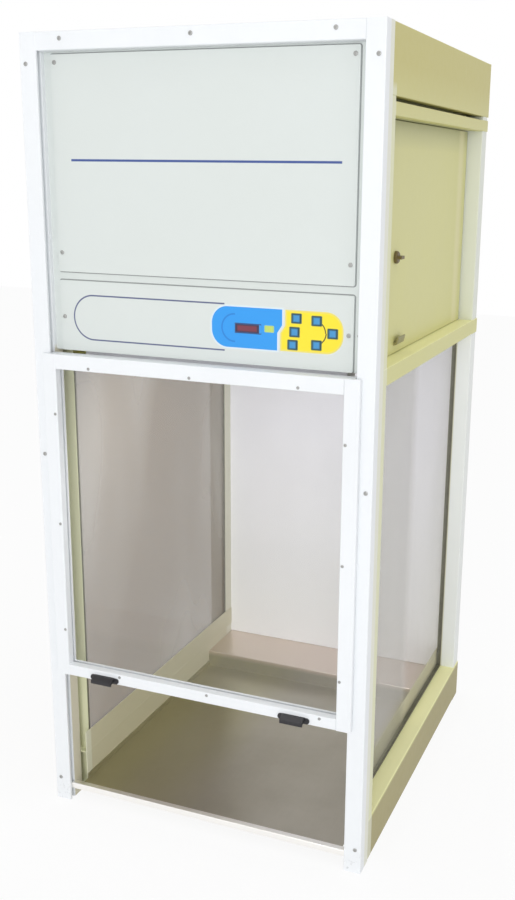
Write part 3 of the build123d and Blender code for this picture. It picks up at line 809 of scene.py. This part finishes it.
def soften(mesh, edges, width, segments=3):
    """Round some edges of a bmesh."""
    bmesh.ops.bevel(
        mesh, geom=edges, offset=width, offset_type="OFFSET", segments=segments, profile=0.5,
        affect="EDGES", material=-1, clamp_overlap=True,
    )


def mesh_data(name, mesh):
    """Mesh data of a bmesh, which is freed."""
    data = bpy.data.meshes.new(name)
    mesh.to_mesh(data)
    mesh.free()
    return data


def join(target, *others):
    """Add bmeshes to the first one."""
    for other in others:
        data = mesh_data("part", other)
        target.from_mesh(data)
        bpy.data.meshes.remove(data)


def put(name, data):
    """Object of some data, linked to the scene."""
    made = bpy.data.objects.new(name, data)
    bpy.context.scene.collection.objects.link(made)
    return made


def new_piece(name, mesh, body, finish):
    """Object from a bmesh, with its finish, riding on a body."""
    data = mesh_data(name, mesh)
    data.materials.append(bpy.data.materials[finish])
    piece = put(name, data)
    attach(piece, body)
    return piece


def screw_mesh(radius, rise, details):
    """Pan head on z = 0 with a cross recess, as a bmesh."""
    mesh = bmesh.new()
    bmesh.ops.create_cone(
        mesh, cap_ends=True, segments=details.screw_sides, radius1=radius, radius2=radius, depth=rise
    )
    bmesh.ops.translate(mesh, verts=mesh.verts, vec=(0, 0, rise / 2))
    rim = [e for e in mesh.edges if all(v.co.z > rise * 0.9 for v in e.verts)]
    soften(mesh, rim, min(rise * 0.7, radius * 0.4))
    arm = radius * details.recess_reach
    slot = radius * SLOT_SHARE
    for axis in ((1, 0, 0), (0, 1, 0)):
        for place in (-arm, -slot, slot, arm):
            cut = mesh.verts[:] + mesh.edges[:] + mesh.faces[:]
            bmesh.ops.bisect_plane(mesh, geom=cut, plane_co=Vector(axis) * place, plane_no=axis)
    cross = []
    for face in mesh.faces:
        near, far = sorted(abs(c) for c in face.calc_center_median().xy)
        if face.normal.z > 0.9 and far < arm and near < slot:
            cross.append(face)
    dropped = bmesh.ops.extrude_face_region(mesh, geom=cross)["geom"]
    bmesh.ops.delete(mesh, geom=cross, context="FACES")
    bmesh.ops.translate(mesh, verts=vertices(dropped), vec=(0, 0, -rise * RECESS_SHARE))
    bmesh.ops.recalc_face_normals(mesh, faces=mesh.faces)
    return mesh


def add_heads(name, node, body, details):
    """Screw heads in the places of a CAD node's heads, joined to one piece that stands for it."""
    joined = bmesh.new()
    for number, (low, high) in enumerate(islands(node)):
        centre = (low + high) / 2
        to_front = centre.y < 0
        head = screw_mesh((high.x - low.x) / 2, high.y - low.y, details)
        turn = Matrix.Rotation(math.radians(90 if to_front else -90), 4, "X")
        spin = Matrix.Rotation(number * HEAD_TURN, 4, "Z")
        seat = Vector((centre.x, high.y if to_front else low.y, centre.z))
        bmesh.ops.transform(head, matrix=Matrix.Translation(seat) @ turn @ spin, verts=head.verts)
        join(joined, head)
    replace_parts(new_piece(name, joined, body, "zinc_plate"), node)


# Settings that a user would change


def colour(label, description, shade):
    """Colour setting with its default as screen levels."""
    return FloatVectorProperty(
        name=label, description=description, subtype="COLOR", size=3, min=0.0, max=1.0,
        default=tone(*shade),
    )


class HoodColours(bpy.types.PropertyGroup):
    frame_white: colour("Frame", "Powder coat of the frame and the sash", (240, 243, 246))
    cream: colour("Sheet metal", "Powder coat of the sides and the lid", (216, 213, 144))
    wall_white: colour("Chamber wall", "Coat of the wall behind the tray", (242, 242, 249))
    panel_grey: colour("Front panels", "Paint of the two front panels", (219, 225, 223))
    print_line: colour("Printed line", "Line across the upper panel", (62, 86, 150))
    print_outline: colour("Printed outline", "Thin outline on the control panel", (92, 100, 136))
    field_blue: colour("Blue field", "Printed field round the display", (48, 156, 238))
    field_yellow: colour("Yellow field", "Printed field round the keys", (252, 228, 50))
    key_blue: colour("Keys", "Membrane keys", (66, 148, 204))
    steel: colour("Tray", "Brushed stainless sheet", (187, 182, 169))
    # Brown haze of the left pane, painted shade that stands for the dim room seen through it
    left_pane_room_shade: colour("Left window", "Tint of the left side pane", (134, 112, 76))
    sash_tint: colour("Sash pane", "Tint of the sash pane", (225, 230, 232))


class HoodDetails(bpy.types.PropertyGroup):
    liner_top: FloatProperty(
        name="Liner height", description="Height of the top edge of the liners", default=0.121, unit="LENGTH"
    )
    screw_sides: IntProperty(
        name="Screw sides", description="Sides of each round screw head", default=20, min=8, max=48
    )
    recess_reach: FloatProperty(
        name="Recess reach", description="Reach of the cross recess as a share of the head's radius",
        default=0.58, min=0.2, max=0.8, subtype="FACTOR",
    )


class HoodStudio(bpy.types.PropertyGroup):
    camera_place: FloatVectorProperty(
        name="Camera", description="Place of the camera", subtype="TRANSLATION", unit="LENGTH",
        default=(0.7563, -1.8264, 1.1465),
    )
    azimuth: FloatProperty(
        name="Azimuth", description="Turn of the camera round the hood", subtype="ANGLE",
        default=math.radians(21.646),
    )
    tilt: FloatProperty(
        name="Tilt", description="Angle that the camera looks down", subtype="ANGLE",
        default=math.radians(14.877),
    )
    roll: FloatProperty(
        name="Roll", description="Turn of the camera about its own line of sight", subtype="ANGLE",
        default=math.radians(0.642),
    )
    floor_size: FloatProperty(
        name="Floor", description="Side of the floor", default=14.0, unit="LENGTH"
    )
    key_power: FloatProperty(
        name="Key lamp", description="Power of the large lamp at the front", default=100.0, unit="POWER"
    )
    chamber_power: FloatProperty(
        name="Chamber lamp", description="Power of the lamp over the chamber", default=1.3, unit="POWER"
    )
    fill: FloatProperty(
        name="Surroundings", description="Strength of the light from all round", default=0.74
    )


# Operators


class HOOD_OT_finishes(bpy.types.Operator):
    """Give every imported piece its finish"""

    bl_idname = "hood.finishes"
    bl_label = "Finish the packed pieces"

    def execute(self, context):
        for name, (recipe, nodes) in FINISHES.items():
            material = recipe(name, context.scene.hood_colours)
            for node in nodes:
                NODES[node].data.materials.clear()
                NODES[node].data.materials.append(material)
        bare = set(NODES) - {node for _, nodes in FINISHES.values() for node in nodes}
        if bare:
            raise RuntimeError(f"no finish for {sorted(bare)}")
        return {"FINISHED"}


class HOOD_OT_frame_screws(bpy.types.Operator):
    """Model the cross-recessed screws of the frame, the panels and the rear cover"""

    bl_idname = "hood.frame_screws"
    bl_label = "Frame screws"

    def execute(self, context):
        add_heads("frame_screw_heads", "screws", "root", context.scene.hood_details)
        return {"FINISHED"}


class HOOD_OT_sash_screws(bpy.types.Operator):
    """Model the small cross-recessed screws round the sash pane"""

    bl_idname = "hood.sash_screws"
    bl_label = "Sash screws"

    def execute(self, context):
        add_heads("sash_screw_heads", "sash_screws", "sash", context.scene.hood_details)
        return {"FINISHED"}


class HOOD_OT_liners(bpy.types.Operator):
    """Model the cream liners that stand on the plinths, inside the side windows"""

    bl_idname = "hood.liners"
    bl_label = "Liners"

    def execute(self, context):
        pane_low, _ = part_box("side_window_right")
        inner = pane_low.x - LINER_GAP
        outer = inner + SHEET
        foot = pane_low.z - LINER_LAP
        top = context.scene.hood_details.liner_top
        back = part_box("rear_wall")[0].y - LINER_CLEARANCE
        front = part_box("front_post_right")[1].y + LINER_LAP
        for side, name in ((-1, "liner_left"), (1, "liner_right")):
            profile = [(inner, foot), (outer, foot), (outer, top), (inner, top)]
            mesh = prism([(side * x, z) for x, z in profile], 1, front, back)
            crest = [e for e in mesh.edges if all(v.co.z > top - 1e-5 for v in e.verts)]
            soften(mesh, crest, SHEET * 0.4)
            bmesh.ops.recalc_face_normals(mesh, faces=mesh.faces)
            new_piece(name, mesh, "root", "cream_coat")
        return {"FINISHED"}


class HOOD_OT_finger_pulls(bpy.types.Operator):
    """Model the two black finger pulls of the sash, each a hooked lip on a plate"""

    bl_idname = "hood.finger_pulls"
    bl_label = "Finger pulls"

    def execute(self, context):
        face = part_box("sash_bottom_rail")[0].y
        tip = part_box("sash_pulls")[0].y
        joined = bmesh.new()
        for low, high in islands("sash_pulls"):
            centre = (low.x + high.x) / 2
            join(joined, self.hook(face, tip, centre), self.plate(face, centre))
        bmesh.ops.recalc_face_normals(joined, faces=joined.faces)
        piece = new_piece("finger_pulls", joined, "sash", "black_moulding")
        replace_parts(piece, "sash_pulls")
        return {"FINISHED"}

    def hook(self, face, tip, centre):
        """Lip that slopes out from the rail to its tip and turns down there."""
        top, knuckle = 0.2765, 0.272
        root, bend, foot = 0.2725, 0.268, 0.2655
        profile = [
            (face, top), (face - 0.004, top), (tip, knuckle), (tip, foot),
            (tip + 0.003, foot), (tip + 0.004, bend), (face - 0.002, root), (face, root),
        ]
        mesh = prism(profile, 0, centre - LIP_HALF, centre + LIP_HALF)
        outer = [e for e in mesh.edges if all(v.co.y < face - 0.0005 for v in e.verts)]
        soften(mesh, outer, 0.0008)
        return mesh

    def plate(self, face, centre):
        """Plate with round ends against the rail."""
        front = face - PLATE_THICKNESS
        foot, top = 0.266, 0.276
        profile = [(face, foot), (front, foot), (front, top), (face, top)]
        mesh = prism(profile, 0, centre - PLATE_HALF, centre + PLATE_HALF)
        ends = [e for e in mesh.edges if abs(e.verts[0].co.y - e.verts[1].co.y) > 0.001]
        soften(mesh, ends, 0.0045, 6)
        return mesh


class HOOD_OT_studio(bpy.types.Operator):
    """Set up the floor, the lamps, the surroundings and the camera"""

    bl_idname = "hood.studio"
    bl_label = "Studio"

    def execute(self, context):
        scene = context.scene
        studio = scene.hood_studio
        scene.view_settings.view_transform = "Standard"
        self.make_floor(studio)
        scene.world = self.surroundings(studio)
        self.make_lamps(studio)
        scene.camera = self.camera(studio)
        return {"FINISHED"}

    def make_floor(self, studio):
        """White floor that keeps a soft shadow under the hood."""
        mesh = bmesh.new()
        bmesh.ops.create_grid(mesh, x_segments=1, y_segments=1, size=studio.floor_size / 2)
        floor = put("floor", mesh_data("floor", mesh))
        net = Net("floor")
        matt = net.node("ShaderNodeBsdfDiffuse", {}, {"Color": opaque(tone(250, 250, 250))})
        glow = net.node("ShaderNodeEmission", {}, {"Color": opaque((1, 1, 1)), "Strength": 1.0})
        mixed = net.node("ShaderNodeMixShader", {}, {0: net.looked_at() * FLOOR_WHITE, 1: matt, 2: glow})
        floor.data.materials.append(net.finish(mixed))

    def surroundings(self, studio):
        """World with even light from all round, and a white background behind the hood."""
        net = Net("surroundings", bpy.data.worlds)
        strength = net.looked_at() * (1.0 - studio.fill) + studio.fill
        sockets = {"Color": opaque((1, 1, 1)), "Strength": strength}
        return net.finish(net.node("ShaderNodeBackground", {}, sockets), "ShaderNodeOutputWorld")

    def make_lamps(self, studio):
        """Large soft lamp in front, a smaller one above, and the light of the chamber's own lamp."""
        low, high = CAD_BOX
        front = Vector((0, low[1], high[2] * 0.4))
        tube_low, tube_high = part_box("lamp_tube")
        under_tube = Vector((0, (tube_low.y + tube_high.y) / 2, tube_low.z - CHAMBER_DROP))
        wall_foot = Vector((0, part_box("rear_wall")[0].y, high[2] * 0.2))
        for name, place, target, size, power in (
            ("key_lamp", Vector(KEY_PLACE), front, KEY_SIZE, studio.key_power),
            ("top_lamp", Vector(TOP_PLACE), front, TOP_SIZE, studio.key_power * TOP_SHARE),
            ("chamber_lamp", under_tube, wall_foot, CHAMBER_SIZE, studio.chamber_power),
        ):
            lamp = bpy.data.lights.new(name, "AREA")
            lamp.size = size
            lamp.energy = power
            self.turn(put(name, lamp), place, (target - place).to_track_quat("-Z", "Y"))

    def camera(self, studio):
        """Camera that repeats the picture's view."""
        data = bpy.data.cameras.new("camera")
        data.sensor_width = SENSOR
        data.lens = FOCAL / max(PICTURE) * SENSOR
        data.shift_x = (PICTURE[0] / 2 - CENTRE_X) / max(PICTURE)
        data.shift_y = (CENTRE_Y - PICTURE[1] / 2) / max(PICTURE)
        data.clip_start = 0.05
        data.clip_end = 60.0
        heading = Matrix.Rotation(studio.azimuth, 3, "Z")
        lean = Matrix.Rotation(math.radians(90) - studio.tilt, 3, "X")
        twist = Matrix.Rotation(studio.roll, 3, "Z")
        return self.turn(put("camera", data), studio.camera_place, (heading @ lean @ twist).to_quaternion())

    def turn(self, item, place, rotation):
        """Move a lamp or the camera to its place and turn it."""
        item.location = place
        item.rotation_mode = "QUATERNION"
        item.rotation_quaternion = rotation
        return item


class HOOD_PT_panel(bpy.types.Panel):
    """Sidebar panel with the hood's settings and its steps"""

    bl_idname = "HOOD_PT_panel"
    bl_label = "Bench fume hood"
    bl_space_type = "VIEW_3D"
    bl_region_type = "UI"
    bl_category = "Hood"

    def draw(self, context):
        for group in (context.scene.hood_colours, context.scene.hood_details, context.scene.hood_studio):
            box = self.layout.box()
            for name in group.__annotations__:
                box.prop(group, name)
        for step in STEPS:
            self.layout.operator(step.bl_idname)


STEPS = (HOOD_OT_finishes, HOOD_OT_frame_screws, HOOD_OT_sash_screws, HOOD_OT_liners,
         HOOD_OT_finger_pulls, HOOD_OT_studio)
CLASSES = (HoodColours, HoodDetails, HoodStudio, *STEPS, HOOD_PT_panel)


def register():
    for kind in CLASSES:
        bpy.utils.register_class(kind)
    bpy.types.Scene.hood_colours = PointerProperty(type=HoodColours)
    bpy.types.Scene.hood_details = PointerProperty(type=HoodDetails)
    bpy.types.Scene.hood_studio = PointerProperty(type=HoodStudio)


def unregister():
    del bpy.types.Scene.hood_studio
    del bpy.types.Scene.hood_details
    del bpy.types.Scene.hood_colours
    for kind in reversed(CLASSES):
        bpy.utils.unregister_class(kind)


def main():
    register()
    bpy.ops.hood.finishes()
    bpy.ops.hood.frame_screws()
    bpy.ops.hood.sash_screws()
    bpy.ops.hood.liners()
    bpy.ops.hood.finger_pulls()
    bpy.ops.hood.studio()


if __name__ == "__main__":
    main()
